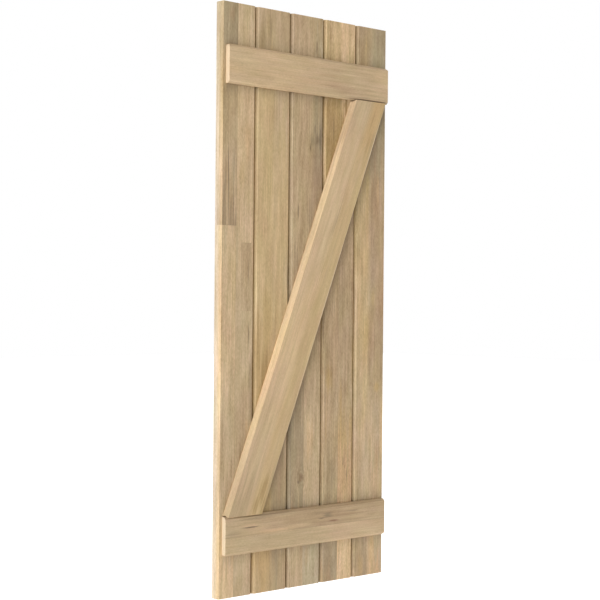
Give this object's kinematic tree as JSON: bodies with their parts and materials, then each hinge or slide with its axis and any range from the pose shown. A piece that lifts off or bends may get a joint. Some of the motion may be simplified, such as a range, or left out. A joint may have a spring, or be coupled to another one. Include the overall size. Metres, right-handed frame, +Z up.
{
  "type": "board and batten shutter",
  "caption": "Fixed exterior window shutter of bare wood: vertical tongue-and-groove boards with V joints, level battens top and bottom and a bevelled diagonal brace between them.",
  "frame": {"origin": "middle of the flat back of the boards, the face that lies against the wall", "axes": "+Z up along the boards, +X to the right as seen from the front, +Y out of the back towards the wall, so the battens face -Y"},
  "size_m": [0.4318, 0.0286, 1.0922],
  "materials": {
    "boards": "bare, planed smooth, matte",
    "battens": "bare, planed smooth, matte",
    "brace": "bare, planed smooth, matte",
    "screws": "zinc plated, satin"
  },
  "bodies": {
    "root": {"board_1": "boards", "board_2": "boards", "board_3": "boards", "board_4": "boards", "board_5": "boards", "top_batten": "battens", "bottom_batten": "battens", "diagonal_brace": "brace"}
  },
  "joints": []
}
